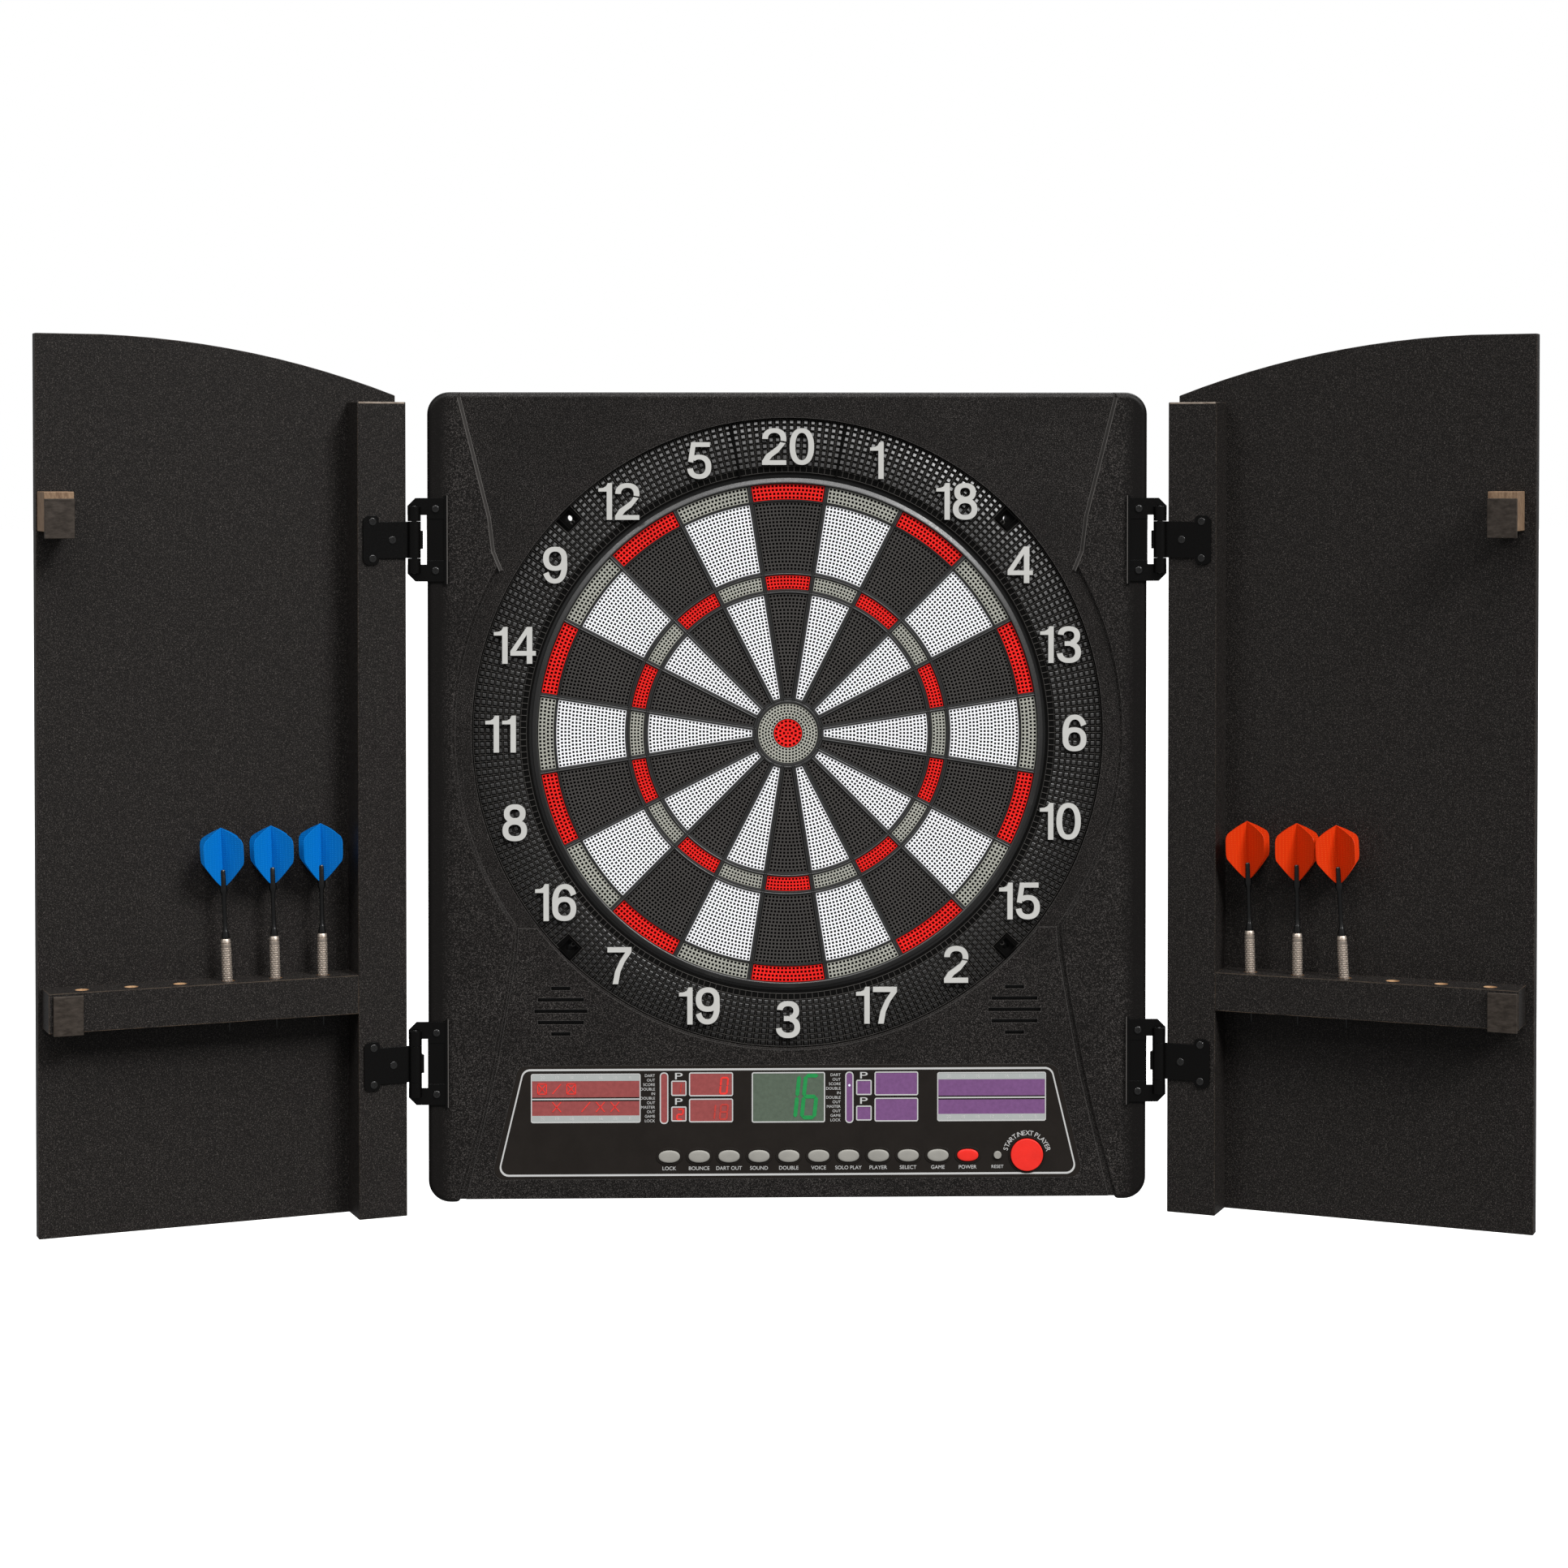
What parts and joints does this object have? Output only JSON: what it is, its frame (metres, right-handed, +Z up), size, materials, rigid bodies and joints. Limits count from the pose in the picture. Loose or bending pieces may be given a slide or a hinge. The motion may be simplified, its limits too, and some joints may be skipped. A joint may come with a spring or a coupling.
{
  "type": "dart board cabinet",
  "caption": "Electronic dart board in a wall housing with two hinged doors, arched at the top, that hold darts in drilled racks.",
  "frame": {"origin": "centre of the four wall screw holes, behind the bull, on the wall plane", "axes": "+X to the right when facing the board, -Y out of the wall towards the player, +Z up"},
  "size_m": [1.1257, 0.1644, 0.6755],
  "materials": {
    "housing_plastic": "fine leather-like grain",
    "rear_plastic": "fine grain",
    "ring_plastic": "black net, semi-gloss",
    "number_white": "light grey numerals",
    "spider_plastic": "dark grey, satin",
    "segment_red": "perforated, satin",
    "segment_grey": "perforated, satin",
    "segment_white": "perforated, satin",
    "segment_black": "perforated, satin",
    "sheet_rubber": "plain",
    "membrane": "clear film with printed tracks",
    "backing": "hardboard",
    "circuit_board": "green solder mask",
    "mat_rubber": "silicone",
    "panel_film": "smooth satin film",
    "window_tint": "tinted window",
    "speaker_steel": "stamped basket",
    "jack_plastic": "plain",
    "screw_black": "black zinc",
    "hinge_black": "semi-gloss black",
    "button_grey": "satin",
    "button_red": "satin",
    "door_foil": "black textured foil on fibreboard",
    "plate_wood": "dark stained wood plate",
    "block_wood": "fibreboard with foil front",
    "dart_nickel": "knurled nickel plated brass",
    "dart_black": "moulded shaft and tip",
    "flight_blue": "embossed film",
    "flight_orange": "embossed film"
  },
  "bodies": {
    "housing": {"front_housing": "housing_plastic", "rear_housing": "rear_plastic", "catch_ring": "ring_plastic", "segment_spider": "spider_plastic", "damping_sheet": "sheet_rubber", "switch_matrix": "membrane", "backing_board": "backing", "main_circuit_board": "circuit_board", "display_board": "circuit_board", "keypad_mat": "mat_rubber", "control_panel_plate": "panel_film", "display_windows": "window_tint", "left_speaker": "speaker_steel", "right_speaker": "speaker_steel", "power_jack": "jack_plastic", "housing_screws": "screw_black", "hinge_frame_leaves": "hinge_black", "hinge_pins": "screw_black", "hinge_frame_screws": "screw_black"},
    "double_segments_body": {"double_segments": "segment_red"},
    "outer_single_segments_body": {"outer_single_segments": "segment_white"},
    "triple_segments_body": {"triple_segments": "segment_red"},
    "inner_single_segments_body": {"inner_single_segments": "segment_white"},
    "outer_bull_segment_body": {"outer_bull_segment": "segment_grey"},
    "inner_bull_segment_body": {"inner_bull_segment": "segment_red"},
    "guard_button_body": {"guard_button": "button_grey"},
    "bounce_out_button_body": {"bounce_out_button": "button_grey"},
    "dart_out_button_body": {"dart_out_button": "button_grey"},
    "sound_button_body": {"sound_button": "button_grey"},
    "miss_button_body": {"miss_button": "button_grey"},
    "voice_button_body": {"voice_button": "button_grey"},
    "solo_button_body": {"solo_button": "button_grey"},
    "player_button_body": {"player_button": "button_grey"},
    "select_button_body": {"select_button": "button_grey"},
    "game_button_body": {"game_button": "button_grey"},
    "power_button_body": {"power_button": "button_red"},
    "reset_button_body": {"reset_button": "button_grey"},
    "start_button_body": {"start_button": "button_red"},
    "left_door": {"left_door_panel": "door_foil", "left_door_post": "door_foil", "left_dart_rack": "door_foil", "left_stop_block": "block_wood", "left_stop_pads": "plate_wood", "left_hinge_door_leaves": "hinge_black", "left_hinge_door_screws": "screw_black"},
    "left_dart_inner_body": {"left_dart_inner": "dart_nickel"},
    "left_dart_middle_body": {"left_dart_middle": "dart_nickel"},
    "left_dart_outer_body": {"left_dart_outer": "dart_nickel"},
    "right_door": {"right_door_panel": "door_foil", "right_door_post": "door_foil", "right_dart_rack": "door_foil", "right_stop_block": "block_wood", "right_stop_pads": "plate_wood", "right_hinge_door_leaves": "hinge_black", "right_hinge_door_screws": "screw_black"},
    "right_dart_inner_body": {"right_dart_inner": "dart_nickel"},
    "right_dart_middle_body": {"right_dart_middle": "dart_nickel"},
    "right_dart_outer_body": {"right_dart_outer": "dart_nickel"}
  },
  "joints": [
    {"name": "double_segments_press", "type": "slide", "parent": "housing", "child": "double_segments_body", "axis": [0, 1, 0], "range_m": [0, 0.0012], "stiffness_N_per_m": 1500, "springref_m": -0.001},
    {"name": "outer_single_segments_press", "type": "slide", "parent": "housing", "child": "outer_single_segments_body", "axis": [0, 1, 0], "range_m": [0, 0.0012], "stiffness_N_per_m": 1500, "springref_m": -0.001},
    {"name": "triple_segments_press", "type": "slide", "parent": "housing", "child": "triple_segments_body", "axis": [0, 1, 0], "range_m": [0, 0.0012], "stiffness_N_per_m": 1500, "springref_m": -0.001},
    {"name": "inner_single_segments_press", "type": "slide", "parent": "housing", "child": "inner_single_segments_body", "axis": [0, 1, 0], "range_m": [0, 0.0012], "stiffness_N_per_m": 1500, "springref_m": -0.001},
    {"name": "outer_bull_segment_press", "type": "slide", "parent": "housing", "child": "outer_bull_segment_body", "axis": [0, 1, 0], "range_m": [0, 0.0012], "stiffness_N_per_m": 1500, "springref_m": -0.001},
    {"name": "inner_bull_segment_press", "type": "slide", "parent": "housing", "child": "inner_bull_segment_body", "axis": [0, 1, 0], "range_m": [0, 0.0012], "stiffness_N_per_m": 1500, "springref_m": -0.001},
    {"name": "guard_button_press", "type": "slide", "parent": "housing", "child": "guard_button_body", "axis": [0, 1, 0], "range_m": [0, 0.0012], "stiffness_N_per_m": 300, "springref_m": -0.001},
    {"name": "bounce_out_button_press", "type": "slide", "parent": "housing", "child": "bounce_out_button_body", "axis": [0, 1, 0], "range_m": [0, 0.0012], "stiffness_N_per_m": 300, "springref_m": -0.001},
    {"name": "dart_out_button_press", "type": "slide", "parent": "housing", "child": "dart_out_button_body", "axis": [0, 1, 0], "range_m": [0, 0.0012], "stiffness_N_per_m": 300, "springref_m": -0.001},
    {"name": "sound_button_press", "type": "slide", "parent": "housing", "child": "sound_button_body", "axis": [0, 1, 0], "range_m": [0, 0.0012], "stiffness_N_per_m": 300, "springref_m": -0.001},
    {"name": "miss_button_press", "type": "slide", "parent": "housing", "child": "miss_button_body", "axis": [0, 1, 0], "range_m": [0, 0.0012], "stiffness_N_per_m": 300, "springref_m": -0.001},
    {"name": "voice_button_press", "type": "slide", "parent": "housing", "child": "voice_button_body", "axis": [0, 1, 0], "range_m": [0, 0.0012], "stiffness_N_per_m": 300, "springref_m": -0.001},
    {"name": "solo_button_press", "type": "slide", "parent": "housing", "child": "solo_button_body", "axis": [0, 1, 0], "range_m": [0, 0.0012], "stiffness_N_per_m": 300, "springref_m": -0.001},
    {"name": "player_button_press", "type": "slide", "parent": "housing", "child": "player_button_body", "axis": [0, 1, 0], "range_m": [0, 0.0012], "stiffness_N_per_m": 300, "springref_m": -0.001},
    {"name": "select_button_press", "type": "slide", "parent": "housing", "child": "select_button_body", "axis": [0, 1, 0], "range_m": [0, 0.0012], "stiffness_N_per_m": 300, "springref_m": -0.001},
    {"name": "game_button_press", "type": "slide", "parent": "housing", "child": "game_button_body", "axis": [0, 1, 0], "range_m": [0, 0.0012], "stiffness_N_per_m": 300, "springref_m": -0.001},
    {"name": "power_button_press", "type": "slide", "parent": "housing", "child": "power_button_body", "axis": [0, 1, 0], "range_m": [0, 0.0012], "stiffness_N_per_m": 300, "springref_m": -0.001},
    {"name": "reset_button_press", "type": "slide", "parent": "housing", "child": "reset_button_body", "axis": [0, 1, 0], "range_m": [0, 0.0012], "stiffness_N_per_m": 300, "springref_m": -0.001},
    {"name": "start_button_press", "type": "slide", "parent": "housing", "child": "start_button_body", "axis": [0, 1, 0], "range_m": [0, 0.0012], "stiffness_N_per_m": 300, "springref_m": -0.001},
    {"name": "left_door_swing", "type": "hinge", "parent": "housing", "child": "left_door", "pos_m": [-0.2865, -0.052, 0], "axis": [0, 0, 1], "range_deg": [-21, 159]},
    {"name": "left_dart_inner_lift", "type": "slide", "parent": "left_door", "child": "left_dart_inner_body", "axis": [-0.013, -0.005, 0.9999], "range_m": [0, 0.045]},
    {"name": "left_dart_middle_lift", "type": "slide", "parent": "left_door", "child": "left_dart_middle_body", "axis": [-0.0261, -0.01, 0.9996], "range_m": [0, 0.045]},
    {"name": "left_dart_outer_lift", "type": "slide", "parent": "left_door", "child": "left_dart_outer_body", "axis": [-0.0391, -0.015, 0.9991], "range_m": [0, 0.045]},
    {"name": "right_door_swing", "type": "hinge", "parent": "housing", "child": "right_door", "pos_m": [0.2865, -0.052, 0], "axis": [0, 0, 1], "range_deg": [-156, 24]},
    {"name": "right_dart_inner_lift", "type": "slide", "parent": "right_door", "child": "right_dart_inner_body", "axis": [-0.0223, 0.0099, 0.9997], "range_m": [0, 0.045]},
    {"name": "right_dart_middle_lift", "type": "slide", "parent": "right_door", "child": "right_dart_middle_body", "axis": [-0.0064, 0.0028, 1], "range_m": [0, 0.045]},
    {"name": "right_dart_outer_lift", "type": "slide", "parent": "right_door", "child": "right_dart_outer_body", "axis": [-0.051, 0.0227, 0.9984], "range_m": [0, 0.045]}
  ]
}
